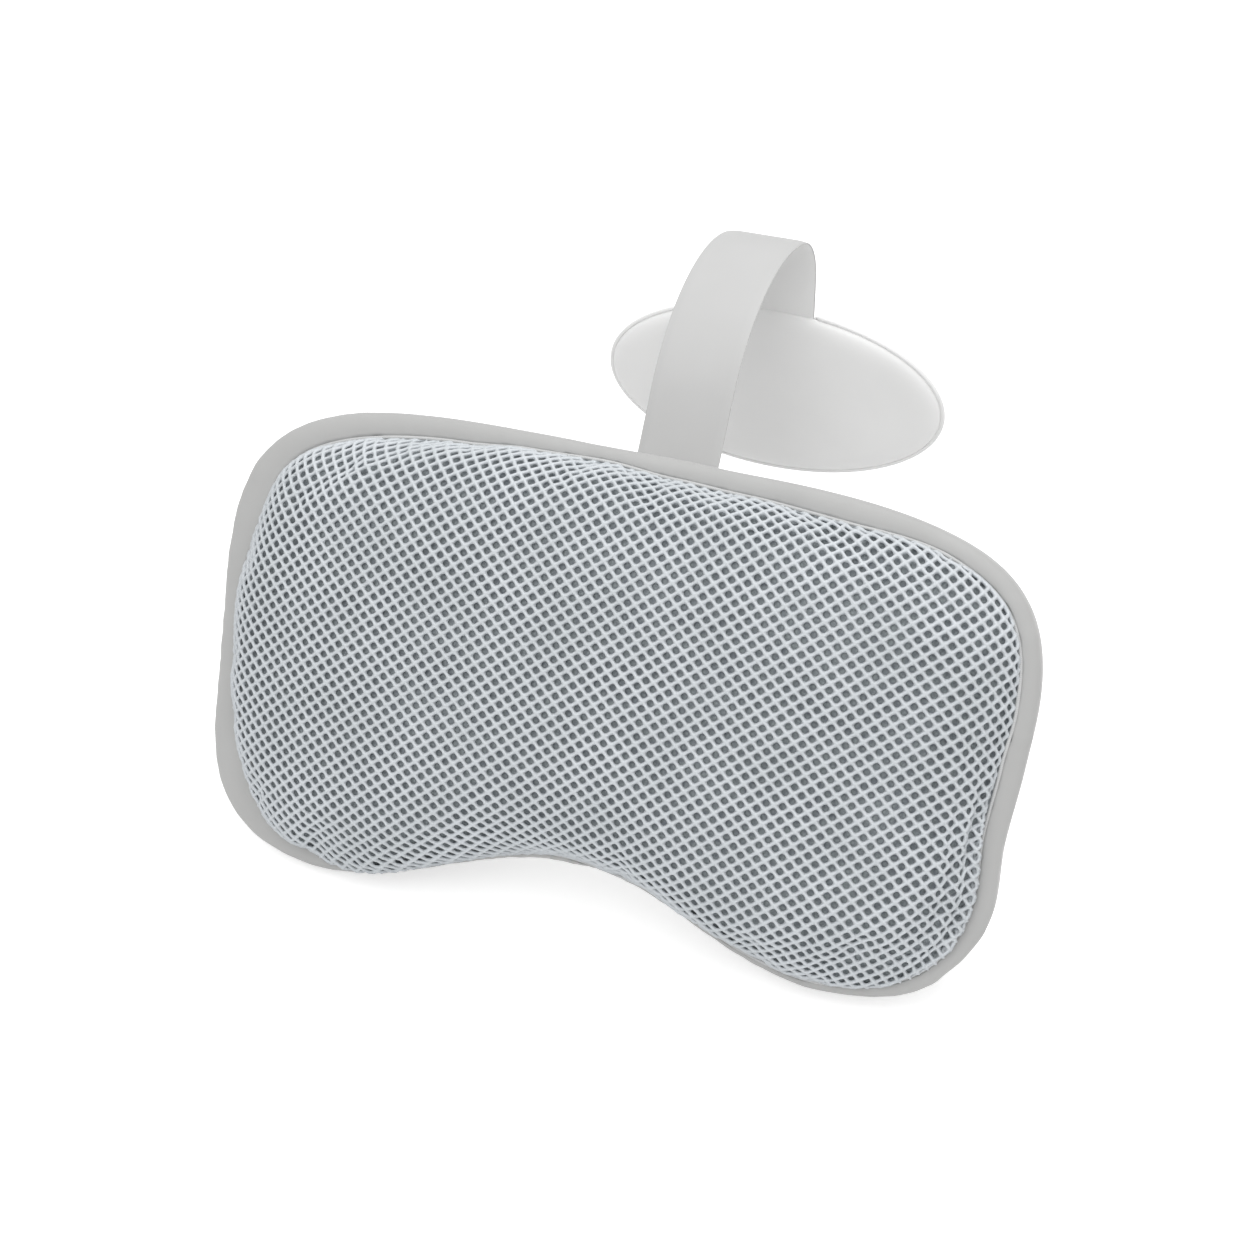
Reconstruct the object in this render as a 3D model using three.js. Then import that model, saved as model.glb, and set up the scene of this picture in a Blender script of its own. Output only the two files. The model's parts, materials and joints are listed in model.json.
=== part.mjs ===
// Bath pillow: a kidney-shaped cushion with a mesh face, hung over a tub rim by a strap and a weighted pad.
// Millimetres, +Z up, +X along the pillow's width, +Y from the bather towards the tub rim.
// The origin is the middle of the flat back panel, which leans on the tub wall.

import * as THREE from "three";

// Pillow outline, seen square to the back: sizes from the middle of the back panel
const halfWidth = 190;
const topHeight = 113;
const lobeDepth = 115;
const cornerPower = 4.2;
const topFlare = 3.5;
const neckRise = 40;
const neckSpread = 86;

// Pillow section: heights over the back panel's outer face, and insets from the widest outline
const lean = THREE.MathUtils.degToRad(26.5);
const bandDepth = 50;
const seamRise = 5;
const frontInset = 7.5;
const frontLobeInset = 3;
const frontNeckInset = 2;
const backInset = 45;
const backLobeInset = 45;
const backNeckInset = 26;
const faceCrown = 35;
const crownPower = 3;
const crownCentre = 12;

// Cloth, foam and thread
const clothThickness = 1.5;
const meshThickness = 2.4;
const faceCordRadius = 1.1;
const faceCordLift = 0.8;
const seamGap = 0.3;
const foamGap = 0.4;
const threadRadius = 0.4;

// Strap
const strapWidth = 40;
const strapThickness = 2.4;
const rootTabLength = 40;
const rootTabMargin = 2;
const rampAngle = THREE.MathUtils.degToRad(56);
const rampLength = 76;
const crownRadius = 90;
const shoulderAngle = THREE.MathUtils.degToRad(20);
const shoulderRadius = 31;
const dropLength = 15.5;
const endTabLength = 22;
const patchMargin = 9;
const patchThickness = 0.9;
const stitchMargin = 5;
const stitchCorner = 3;

// Weighted pad
const padHalfWidth = 91.5;
const padHalfHeight = 46.7;
const padThickness = 9.6;
const padDrop = 2;
const coverThickness = 1.4;
const coverRound = 5;
const edgeWidth = 3.5;
const plateGap = 0.4;
const plateSideMargin = 17;
const plateBottomMargin = 16;

// Facets
const outlineSides = 56;
const padSides = 48;
const cordSides = 6;
const bandSteps = 5;
const shoulderSteps = 2;
const crownSteps = 7;
const coverSteps = 3;
const cornerSteps = 3;
const arcSteps = 6;
const restShares = [0.1, 0.4];

// Levels and radii that follow from the sizes above
const seamLevel = bandDepth + seamRise;
const faceRimLevel = seamLevel + faceCordLift - 2 * faceCordRadius;
const faceRimInset = 2 * faceCordRadius + 2 * seamGap;
const backCordRadius = clothThickness / 2;
const panelInset = 2 * backCordRadius + 2 * seamGap;
const foamBackLevel = clothThickness + patchThickness + 2 * seamGap;
const foamSkin = clothThickness + foamGap;
const strapRadius = strapThickness / 2;
const strapStandoff = seamGap + strapRadius;
const hingeGap = strapRadius + seamGap;

const quarter = Math.PI / 2;

// Edges are insets from the widest outline: at the sides and the top, at the lobes and at the neck recess.
const frontEdge = [frontInset, frontLobeInset, frontNeckInset];
const backEdge = [backInset, backLobeInset, backNeckInset];

function drawnIn(edge, distance) {
  return edge.map((inset) => inset + distance);
}

// An edge on the way round a quarter turn, from a depth below the widest outline at 0 to the given edge.
function roundedTo(edge, depth, angle) {
  return edge.map((inset) => inset - (inset - depth) * Math.cos(angle));
}

// A point of the pillow outline at an edge: a superellipse that flares to the top, with the neck recess
// pushed up into its lower side.
function outlinePoint(turn, [inset, lobeInset, neckInset]) {
  const angle = quarter + 2 * Math.PI * turn;
  const across = Math.abs(Math.cos(angle)) / (halfWidth - inset);
  const reach = Math.sin(angle) > 0 ? topHeight - inset : lobeDepth - lobeInset;
  const up = Math.abs(Math.sin(angle)) / reach;
  const radius = (across ** cornerPower + up ** cornerPower) ** (-1 / cornerPower);
  const x = radius * Math.cos(angle);
  const y = radius * Math.sin(angle);
  const lowness = Math.max(0, -y / reach) ** 2;
  const recess = (neckRise - lobeInset + neckInset) * Math.exp(-((x / neckSpread) ** 2));
  const flare = 1 + (topFlare * y) / (topHeight * halfWidth);
  return new THREE.Vector2(x * flare, y + recess * lowness);
}

class WidestOutline extends THREE.Curve {
  getPoint(turn, target = new THREE.Vector2()) {
    return target.copy(outlinePoint(turn, [0, 0, 0]));
  }
}

// The same turns serve every ring, so that the facets of neighbouring pieces stay parallel.
const widest = new WidestOutline();
const turns = Array.from({ length: outlineSides }, (_, i) => widest.getUtoTmapping(i / outlineSides));

function outlineRing(edge, level) {
  return turns.map((turn) => {
    const point = outlinePoint(turn, edge);
    return new THREE.Vector3(point.x, point.y, level);
  });
}

function ovalRing(radiusX, radiusY, centreY, level) {
  return Array.from({ length: padSides }, (_, i) => {
    const angle = quarter + (2 * Math.PI * i) / padSides;
    return new THREE.Vector3(radiusX * Math.cos(angle), centreY + radiusY * Math.sin(angle), level);
  });
}

// Scales a ring towards a centre and sets its level.
function shrunkRing(ring, centre, share, level) {
  return ring.map((point) => {
    const x = centre.x + share * (point.x - centre.x);
    const y = centre.y + share * (point.y - centre.y);
    return new THREE.Vector3(x, y, level);
  });
}

function pole(x, y, level) {
  return [new THREE.Vector3(x, y, level)];
}

// A closed surface over rings that each turn anticlockwise. A ring of one point closes an end, and
// looped joins the last ring to the first.
function ringGeometry(rings, looped = false) {
  const positions = [];
  const starts = [];
  for (const ring of rings) {
    starts.push(positions.length / 3);
    ring.forEach((point) => positions.push(point.x, point.y, point.z));
  }
  const indices = [];
  const bands = looped ? rings.length : rings.length - 1;
  for (let i = 0; i < bands; i++) {
    const next = (i + 1) % rings.length;
    const [low, high] = [rings[i].length, rings[next].length];
    for (let j = 0; j < Math.max(low, high); j++) {
      const a = starts[i] + (j % low);
      const b = starts[i] + ((j + 1) % low);
      const c = starts[next] + ((j + 1) % high);
      const d = starts[next] + (j % high);
      if (low > 1) {
        indices.push(a, b, c);
      }
      if (high > 1) {
        indices.push(a, c, d);
      }
    }
  }
  const geometry = new THREE.BufferGeometry();
  geometry.setAttribute("position", new THREE.Float32BufferAttribute(positions, 3));
  geometry.setIndex(indices);
  geometry.computeVertexNormals();
  return geometry;
}

// A round cord along an outline that ringAt draws in by an inset, at a level.
function cordGeometry(ringAt, radius, level) {
  const rings = Array.from({ length: cordSides }, (_, i) => {
    const angle = (2 * Math.PI * i) / cordSides - quarter;
    return ringAt(-radius * Math.cos(angle), level + radius * Math.sin(angle));
  });
  return ringGeometry(rings, true);
}

function cloth(color) {
  return new THREE.MeshStandardMaterial({ color, roughness: 0.9, metalness: 0 });
}

function named(name, geometry, material) {
  const mesh = new THREE.Mesh(geometry, material);
  mesh.name = name;
  return mesh;
}

// Rings of the band's surface, a depth below its outer face, from the back seam to the front seam.
function bandRings(depth, backLevel) {
  const rings = [];
  for (let i = 0; i <= bandSteps; i++) {
    const angle = quarter * (1 - i / bandSteps);
    const level = bandDepth - (bandDepth - backLevel) * Math.sin(angle);
    rings.push(outlineRing(roundedTo(backEdge, depth, angle), level));
  }
  for (let i = 1; i <= shoulderSteps; i++) {
    const angle = (quarter * i) / shoulderSteps;
    const level = bandDepth + (seamRise - depth) * Math.sin(angle);
    rings.push(outlineRing(roundedTo(frontEdge, depth, angle), level));
  }
  return rings;
}

// Rings of the crown, from its rim up to its middle: level on top, and steep at the rim.
function crownRings(inset, rimLevel, topLevel) {
  const rim = outlineRing(drawnIn(frontEdge, inset), rimLevel);
  const centre = new THREE.Vector2(0, crownCentre);
  const rings = [rim];
  for (let i = 1; i < crownSteps; i++) {
    const angle = quarter * (1 - i / crownSteps);
    const share = Math.sin(angle) ** (2 / crownPower);
    rings.push(shrunkRing(rim, centre, share, rimLevel + (topLevel - rimLevel) * Math.cos(angle)));
  }
  rings.push(pole(0, crownCentre, topLevel));
  return rings;
}

function foamCore() {
  const ledge = seamLevel - foamSkin;
  const inset = faceRimInset + meshThickness + foamGap;
  const top = faceRimLevel + faceCrown - meshThickness - foamGap;
  const back = pole(0, crownCentre, foamBackLevel);
  const rings = [back, ...bandRings(foamSkin, foamBackLevel), ...crownRings(inset, ledge, top)];
  return named("foam_core", ringGeometry(rings), cloth(0x6f7578));
}

function meshFace() {
  const outer = crownRings(faceRimInset, faceRimLevel, faceRimLevel + faceCrown);
  const innerTop = faceRimLevel + faceCrown - meshThickness;
  const inner = crownRings(faceRimInset + meshThickness, faceRimLevel, innerTop);
  return named("mesh_face", ringGeometry([...inner.reverse(), ...outer]), cloth(0xd8dde0));
}

function facePiping() {
  const edge = drawnIn(frontEdge, seamGap + faceCordRadius);
  const ringAt = (offset, level) => outlineRing(drawnIn(edge, offset), level);
  const geometry = cordGeometry(ringAt, faceCordRadius, seamLevel + faceCordLift - faceCordRadius);
  return named("face_piping", geometry, cloth(0xd4d6d6));
}

function sideBand() {
  const outer = bandRings(0, 0);
  const inner = bandRings(clothThickness, clothThickness);
  return named("side_band", ringGeometry([...outer, ...inner.reverse()], true), cloth(0xcfcfce));
}

function backPiping() {
  const edge = drawnIn(backEdge, seamGap + backCordRadius);
  const ringAt = (offset, level) => outlineRing(drawnIn(edge, offset), level);
  return named("back_piping", cordGeometry(ringAt, backCordRadius, backCordRadius), cloth(0xcfcfce));
}

// The flat panel. Its outer face has small rings round the middle, where it rests on the wall.
function backPanel() {
  const rim = outlineRing(drawnIn(backEdge, panelInset), 0);
  const middle = new THREE.Vector2(0, 0);
  const rests = restShares.map((share) => shrunkRing(rim, middle, share, 0));
  const inside = shrunkRing(rim, middle, 1, clothThickness);
  const rings = [pole(0, 0, 0), ...rests, rim, inside, pole(0, 0, clothThickness)];
  return named("back_panel", ringGeometry(rings), cloth(0xc8c8c7));
}

// The strap's end on the back panel: heights up the panel
const hingeHeight = topHeight - backInset - panelInset - rootTabMargin;
const rootTabMiddle = hingeHeight - rootTabLength / 2;

function anchorPatch() {
  const width = strapWidth + 2 * patchMargin;
  const geometry = new THREE.BoxGeometry(width, rootTabLength, patchThickness);
  const patch = named("anchor_patch", geometry, cloth(0xb9baba));
  patch.position.set(0, rootTabMiddle, clothThickness + seamGap + patchThickness / 2);
  return patch;
}

// A rectangle with round corners, drawn in by an inset, as a ring.
function stitchRing(inset, level) {
  const halfX = strapWidth / 2 - stitchMargin - stitchCorner;
  const halfY = rootTabLength / 2 - stitchMargin - stitchCorner;
  const corners = [[halfX, halfY], [-halfX, halfY], [-halfX, -halfY], [halfX, -halfY]];
  return corners.flatMap(([x, y], side) => {
    return Array.from({ length: cornerSteps + 1 }, (_, i) => {
      const angle = quarter * (side + i / cornerSteps);
      const radius = stitchCorner - inset;
      return new THREE.Vector3(x + radius * Math.cos(angle), y + radius * Math.sin(angle), level);
    });
  });
}

function anchorStitching() {
  const stitching = named("anchor_stitching", cordGeometry(stitchRing, threadRadius, 0), cloth(0xe4e4e2));
  const level = -(seamGap + strapThickness + seamGap + threadRadius);
  stitching.position.set(0, rootTabMiddle, level);
  return stitching;
}

// A flat band of the strap's width from its side view, in Y and Z, along a line of points. The far end
// is round, about the fold there, where roundEnd is set.
function strapGeometry(points, roundEnd) {
  const last = points.length - 1;
  const sides = points.map((point, i) => {
    const ahead = points[Math.min(i + 1, last)];
    const behind = points[Math.max(i - 1, 0)];
    const along = ahead.clone().sub(behind).normalize();
    return new THREE.Vector2(-along.y, along.x).multiplyScalar(strapRadius);
  });
  const left = points.map((point, i) => point.clone().add(sides[i]));
  const right = points.map((point, i) => point.clone().sub(sides[i]));
  const shape = new THREE.Shape(left);
  if (roundEnd) {
    const start = sides[last].angle();
    shape.absarc(points[last].x, points[last].y, strapRadius, start, start - Math.PI, true);
  }
  right.reverse().forEach((point) => shape.lineTo(point.x, point.y));
  const geometry = new THREE.ExtrudeGeometry(shape, {
    depth: strapWidth,
    bevelEnabled: false,
    curveSegments: arcSteps,
  });
  geometry.translate(0, 0, -strapWidth / 2);
  const sideView = new THREE.Matrix4().makeBasis(
    new THREE.Vector3(0, 1, 0),
    new THREE.Vector3(0, 0, 1),
    new THREE.Vector3(1, 0, 0),
  );
  return geometry.applyMatrix4(sideView);
}

// The strap's folds, in Y and Z: at the back panel, at the top of the arch and above the pad
function panelPoint(height, level) {
  const y = height * Math.sin(lean) - level * Math.cos(lean);
  const z = height * Math.cos(lean) + level * Math.sin(lean);
  return new THREE.Vector2(y, z);
}

const rootFold = panelPoint(hingeHeight, -strapStandoff);
const rampDirection = new THREE.Vector2(Math.cos(rampAngle), Math.sin(rampAngle));
const rampEnd = rootFold.clone().addScaledVector(rampDirection, rampLength);
const crownMiddle = new THREE.Vector2(
  rampEnd.x + crownRadius * Math.sin(rampAngle),
  rampEnd.y - crownRadius * Math.cos(rampAngle),
);
const crownFold = new THREE.Vector2(crownMiddle.x, crownMiddle.y + crownRadius);
const shoulderEnd = quarter - shoulderAngle;
const shoulderMiddle = new THREE.Vector2(
  crownMiddle.x + (crownRadius - shoulderRadius) * Math.cos(shoulderEnd),
  crownMiddle.y + (crownRadius - shoulderRadius) * Math.sin(shoulderEnd),
);
const padFold = new THREE.Vector2(shoulderMiddle.x + shoulderRadius, shoulderMiddle.y - dropLength);

const strapColour = 0xd2d2d1;

function strapRootTab() {
  const low = panelPoint(hingeHeight - rootTabLength, -strapStandoff);
  return named("strap_root_tab", strapGeometry([low, rootFold], true), cloth(strapColour));
}

function strapFront() {
  const start = rootFold.clone().addScaledVector(rampDirection, hingeGap);
  const path = new THREE.Path();
  path.moveTo(start.x, start.y);
  path.lineTo(rampEnd.x, rampEnd.y);
  path.absarc(crownMiddle.x, crownMiddle.y, crownRadius, quarter + rampAngle, quarter, true);
  return named("strap_front", strapGeometry(path.getPoints(arcSteps), true), cloth(strapColour));
}

function strapRear() {
  const startAngle = quarter - hingeGap / crownRadius;
  const path = new THREE.Path();
  path.absarc(crownMiddle.x, crownMiddle.y, crownRadius, startAngle, shoulderEnd, true);
  path.absarc(shoulderMiddle.x, shoulderMiddle.y, shoulderRadius, shoulderEnd, 0, true);
  path.lineTo(padFold.x, padFold.y);
  return named("strap_rear", strapGeometry(path.getPoints(arcSteps), true), cloth(strapColour));
}

function strapEndTab() {
  const top = padFold.clone().setY(padFold.y - hingeGap);
  const low = padFold.clone().setY(padFold.y - hingeGap - endTabLength);
  return named("strap_end_tab", strapGeometry([top, low], false), cloth(strapColour));
}

// The pad hangs below its fold, on the line of the strap: heights from the pad's middle
const padMiddle = padFold.y - padDrop - padHalfHeight;
const endTabLow = padFold.y - hingeGap - endTabLength - padMiddle;
const edgeLevel = strapRadius + seamGap;

// Rings of a cover's surface, a depth below its outer face, from its rim to its middle.
function coverRings(depth) {
  const rings = [];
  for (let i = 0; i <= coverSteps; i++) {
    const angle = (quarter * i) / coverSteps;
    const inset = coverRound - (coverRound - depth) * Math.cos(angle);
    const rise = padThickness / 2 - edgeLevel - depth;
    const level = edgeLevel + rise * Math.sin(angle);
    rings.push(ovalRing(padHalfWidth - inset, padHalfHeight - inset, 0, level));
  }
  rings.push(pole(0, 0, padThickness / 2 - depth));
  return rings;
}

function padCover(name) {
  const rings = [...coverRings(coverThickness).reverse(), ...coverRings(0)];
  return named(name, ringGeometry(rings), cloth(0xd3d3d2));
}

// The welt between the covers: an oval ring with a gap at the top as wide as the strap.
function padEdge() {
  const gap = strapWidth / 2 + seamGap;
  const innerWidth = padHalfWidth - edgeWidth;
  const innerHeight = padHalfHeight - edgeWidth;
  const outerStart = Math.acos(gap / padHalfWidth);
  const innerStart = Math.acos(gap / innerWidth);
  const shape = new THREE.Shape();
  shape.absellipse(0, 0, padHalfWidth, padHalfHeight, outerStart, -Math.PI - outerStart, true);
  shape.absellipse(0, 0, innerWidth, innerHeight, -Math.PI - innerStart, innerStart, false);
  const geometry = new THREE.ExtrudeGeometry(shape, {
    depth: strapThickness,
    bevelEnabled: false,
    curveSegments: padSides / 2,
  });
  geometry.translate(0, 0, -strapRadius);
  return named("pad_edge", geometry, cloth(0xcbcbca));
}

function weightPlate() {
  const top = endTabLow - seamGap;
  const bottom = plateBottomMargin - padHalfHeight;
  const middle = (top + bottom) / 2;
  const halfThickness = padThickness / 2 - coverThickness - plateGap;
  const ringAt = (level) => ovalRing(padHalfWidth - plateSideMargin, (top - bottom) / 2, middle, level);
  const ends = [-halfThickness, halfThickness];
  const rings = [pole(0, middle, ends[0]), ringAt(ends[0]), ringAt(ends[1]), pole(0, middle, ends[1])];
  const steel = new THREE.MeshStandardMaterial({ color: 0x8d9196, roughness: 0.45, metalness: 0.9 });
  return named("weight_plate", ringGeometry(rings), steel);
}

// The pillow is drawn with its back panel in the XY plane and leans back against the wall.
function pillow() {
  const group = new THREE.Group();
  group.add(foamCore(), meshFace(), facePiping(), sideBand());
  group.add(backPanel(), backPiping(), anchorPatch(), anchorStitching());
  group.rotation.x = quarter - lean;
  return group;
}

// The pad is drawn flat in the XY plane and hangs upright, with its front cover towards the bather.
function pad() {
  const group = new THREE.Group();
  const backCover = padCover("pad_back_cover");
  backCover.rotation.y = Math.PI;
  group.add(padCover("pad_front_cover"), backCover, padEdge(), weightPlate());
  group.rotation.x = quarter;
  group.position.set(0, padFold.x, padMiddle);
  return group;
}

const bathPillow = new THREE.Group();
bathPillow.add(pillow(), strapRootTab(), strapFront(), strapRear(), strapEndTab(), pad());

export default bathPillow;
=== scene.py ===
"""Bath pillow: the looks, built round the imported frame.

A kidney-shaped cushion with a domed open-mesh face, a smooth side band and a flat back hangs over a tub
rim by a strap that arches to an oval weighted pad. Lengths are millimetres, and add_mesh turns them into
metres.
"""

import json
import math

import bmesh
import bpy
import numpy as np
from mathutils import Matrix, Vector


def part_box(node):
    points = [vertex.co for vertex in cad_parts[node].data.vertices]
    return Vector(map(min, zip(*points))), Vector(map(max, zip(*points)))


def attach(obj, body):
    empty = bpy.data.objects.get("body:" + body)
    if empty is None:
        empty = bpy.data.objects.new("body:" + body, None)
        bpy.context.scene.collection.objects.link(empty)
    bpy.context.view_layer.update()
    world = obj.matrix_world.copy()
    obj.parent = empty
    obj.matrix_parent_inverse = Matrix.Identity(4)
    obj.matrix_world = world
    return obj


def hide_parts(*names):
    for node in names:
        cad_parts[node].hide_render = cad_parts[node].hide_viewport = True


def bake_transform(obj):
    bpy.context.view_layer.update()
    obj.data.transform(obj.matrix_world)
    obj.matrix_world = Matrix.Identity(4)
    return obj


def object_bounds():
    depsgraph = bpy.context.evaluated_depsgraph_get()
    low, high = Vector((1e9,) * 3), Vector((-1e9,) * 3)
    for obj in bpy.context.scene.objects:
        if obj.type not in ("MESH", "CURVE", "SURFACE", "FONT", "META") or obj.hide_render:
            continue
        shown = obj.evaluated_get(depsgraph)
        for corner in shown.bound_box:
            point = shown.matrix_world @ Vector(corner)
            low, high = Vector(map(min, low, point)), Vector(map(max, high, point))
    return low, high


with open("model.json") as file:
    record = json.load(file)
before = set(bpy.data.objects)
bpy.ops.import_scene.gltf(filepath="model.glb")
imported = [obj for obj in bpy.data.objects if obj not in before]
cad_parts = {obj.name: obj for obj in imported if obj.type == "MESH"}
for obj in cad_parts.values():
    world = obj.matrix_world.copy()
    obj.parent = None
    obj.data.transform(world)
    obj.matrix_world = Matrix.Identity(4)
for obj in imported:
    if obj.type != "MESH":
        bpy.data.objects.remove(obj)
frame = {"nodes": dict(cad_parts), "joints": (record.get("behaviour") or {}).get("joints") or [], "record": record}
cad_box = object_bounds()

MM = 0.001
QUARTER = math.pi / 2
FULL = 2 * math.pi
TINY = 1e-9
WELD = 1e-7

# Pillow outline, seen square to the back: sizes from the middle of the back panel
HALF_WIDTH = 190
TOP_HEIGHT = 113
LOBE_DEPTH = 115
CORNER_POWER = 4.2
TOP_FLARE = 3.5
NECK_RISE = 40
NECK_SPREAD = 86

# Pillow section: levels over the back panel, and edges as insets at the sides, the lobes and the neck
BAND_DEPTH = 50
SEAM_RISE = 5
FRONT_EDGE = (8.2, 3.7, 2.7)
BACK_EDGE = (45, 45, 26)
SEAM_LEVEL = BAND_DEPTH + SEAM_RISE
BAND_THICKNESS = 1.5
PIPING_INSET = 0.75
PIPING_LEVEL = SEAM_LEVEL - 0.3
PIPING_RADIUS = 0.85
BACK_PIPING_INSET = 1.05
BACK_PIPING_RADIUS = 0.75
PANEL_INSET = 2.1
PANEL_THICKNESS = 1.4
RIM_SHARE = 0.97
PATCH_MARGIN = 9
PATCH_THICKNESS = 0.9
PATCH_CORNER = 0.22

# Slack of the band's cloth between its seams and tucks along the front one: depths, and levels of their
# start and end
BAND_SLACK = 0.35
SLACK_START = (0, 25)
SLACK_END = (SEAM_LEVEL, BAND_DEPTH - 4)
SEAM_TUCK = 0.22
TUCK_START = (BAND_DEPTH - 6, SEAM_LEVEL - 1)

# Trims of the front seam and of the band's widest part: degrees round the crown's centre, and how far out
SEAM_TRIM = (
    (0, 1.2), (8, 2.8), (20, 3.5), (30, 2.5), (42, -1.5), (60, 0), (78, 1), (98, 3), (118, 2), (132, -0.5),
    (154, -3), (166, -6), (180, -1), (191, -3.5), (198, -7.5), (207, -10.5), (220, -3), (230, 4), (239, 2),
    (250, 0.5), (262, 0), (280, 0), (305, -4.5), (320, -2.5), (337, 2.5), (342, 2.8), (351, 0.1),
)
BAND_TRIM = (
    (0, 1.5), (8, 2), (24, 0), (150, 0), (172, 1.8), (192, 0), (214, 3), (224, 2.5), (233, 0), (268, 0),
    (288, -4), (305, -5), (318, -3.5), (331, 0.5), (341, 3.5), (350, 0.5),
)

# Domed face, with a fuller flank at the top and the left
FACE_INSET = 1.3
FACE_LEVEL = 53.6
FACE_CROWN = 34.4
CROWN_POWER = 3
CROWN_CENTRE = 12
FLANK_FULLNESS = 0.2
TOP_FLANK = (40, 95)
LEFT_FLANK = (-130, -170)

# Puff of the dome past its seam: all round, more at the sides, and most at the lobes
PUFF = 0.6
SIDE_PUFF = 0.6
LOBE_PUFF = 2.6
PUFF_SIDES = (60, 150)
PUFF_LOBES = (40, -90)
PUFF_SHARE = 0.28

# Lining under the open mesh
LINING_GAP = 0.4
LINING_DEPTH = 2.8
LINING_SLACK = 0.8
LINING_WIDTH = 400
LINING_HEIGHT = 300
LINING_REACH = 0.985
LINING_DIP = 1.8
DIP_START = (0.7, 0.93)

# Pleats of the face beside the seam: degrees round the crown's centre, spread in degrees, and depth
PLEATS = ((350, 8, 3), (337, 8, 2.6), (232, 6, 1.2))
PLEAT_PITCH = 8.5
PLEAT_REACH = 18

# Open mesh of the face: pitches across and up, points on each side of a cell, the most cells from the
# middle, how far out cells and normals are taken, the hole, and heights over the cloth's middle
PITCH_ACROSS = 7.15
PITCH_UP = 6.2
SIDE_POINTS = 3
CELLS_ACROSS = 70
CELLS_UP = 60
CUT_SHARE = 1.015
NORMAL_STEP = 0.8
NORMAL_SHARE = 0.99
HOLE_RADIUS = 1.52
HOLE_SQUARENESS = 0.08
CREST_LIFT = 0.6
KNOT_LIFT = 0.75
HOLE_LIFT = -0.55
ROOT_LIFT = -1.3

# Strap: its section, its line, and how far its first and last pieces reach past their folds
STRAP_WIDTH = 40
STRAP_THICKNESS = 1.9
STRAP_EDGE = 1.2
EDGE_SHARE = 0.8
SECTION_POWER = 0.35
STRAP_LIP = 0.02
STRAP_STEP = 2
STRAP_SEAT = 0.5
SEAT_REACH = 8
# Painted light: the strap's inner face, shaded under its arch, is painted this many times paler than its outer
# face
STRAP_PAINTED_LIGHT = 1.5
ROOT_TAB = 40
RAMP_ANGLE = math.radians(56)
RAMP_LENGTH = 76
CROWN_RADIUS = 90
SHOULDER_ANGLE = math.radians(20)
SHOULDER_RADIUS = 31
END_TAB = 20
LOWER_STRETCH = 22
DROP_STRETCH = 13

# Stitches
STITCH_LENGTH = 2.6
STITCH_PITCH = 3.6
THREAD_RADIUS = 0.32
STITCH_BOW = 0.12

# Pad
PAD_HALF_WIDTH = 91.5
PAD_HALF_HEIGHT = 46.7
PAD_HALF_THICKNESS = 4.8
PAD_DROP = 2
PAD_SHOULDER = 12
PAD_RIM = 2.1
PAD_RIM_LEVEL = 0.5
PAD_FLAT = 17
PAD_CLOTH = 1.2
PAD_INNER_LEVEL = 0.3
STRETCH_START = 5
WELT_RADIUS = 1.25
WELT_GAP = 0.5
WELT_TAPER = 0.8

# Camera of the photograph
AZIMUTH = math.radians(21.5)
ELEVATION = math.radians(34)
DISTANCE = 1021
AIM = (9.2, -29.1, 53.6)
LENS = 65.7

wall = next(m for m in frame["record"]["mounts"] if m["name"] == "back_rest")["axis"]
LEAN = math.atan2(-wall[2], wall[1])
hinges = {j["name"]: np.array(j["pos_m"]) / MM for j in frame["joints"]}


# Meshes

def add_mesh(name, points, faces, uv=None, closed=False):
    """A mesh object at the origin from points in millimetres and an array of quads. uv is each corner's
    place on the cloth. Points that coincide are welded, which closes seams and poles, and closed fills the
    ends of cut strands."""
    mesh = bpy.data.meshes.new(name)
    mesh.vertices.add(len(points))
    mesh.vertices.foreach_set("co", np.ascontiguousarray(points * MM, np.float32).ravel())
    mesh.loops.add(faces.size)
    mesh.loops.foreach_set("vertex_index", np.ascontiguousarray(faces, np.int32).ravel())
    mesh.polygons.add(len(faces))
    mesh.polygons.foreach_set("loop_start", np.arange(len(faces), dtype=np.int32) * faces.shape[1])
    if uv is not None:
        layer = mesh.uv_layers.new(name="cloth")
        layer.data.foreach_set("uv", np.ascontiguousarray(uv * MM, np.float32).ravel())
    mesh.update(calc_edges=True)
    work = bmesh.new()
    work.from_mesh(mesh)
    bmesh.ops.remove_doubles(work, verts=work.verts, dist=WELD)
    if closed:
        bmesh.ops.holes_fill(work, edges=[edge for edge in work.edges if edge.is_boundary])
    work.to_mesh(mesh)
    work.free()
    mesh.shade_smooth()
    piece = bpy.data.objects.new(name, mesh)
    bpy.context.scene.collection.objects.link(piece)
    return piece


def grid_faces(rows, columns, loop_rows=False, loop_columns=False):
    """The quads of a grid, as indices into its points taken row by row. A looped side joins its last to its
    first."""
    row = np.arange(rows if loop_rows else rows - 1)[:, None]
    column = np.arange(columns if loop_columns else columns - 1)[None, :]
    next_row = (row + 1) % rows
    next_column = (column + 1) % columns
    corners = [row * columns + column, row * columns + next_column]
    corners += [next_row * columns + next_column, next_row * columns + column]
    return np.stack(corners, axis=-1).reshape(-1, 4)


def running_length(points, axis, looped):
    """Mean running length along one side of a grid of points, with the closing step where it is looped."""
    if looped:
        points = np.concatenate([points, np.take(points, [0], axis=axis)], axis=axis)
    step = np.linalg.norm(np.diff(points, axis=axis), axis=-1).mean(axis=1 - axis)
    return np.concatenate([[0], np.cumsum(step)])


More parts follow.
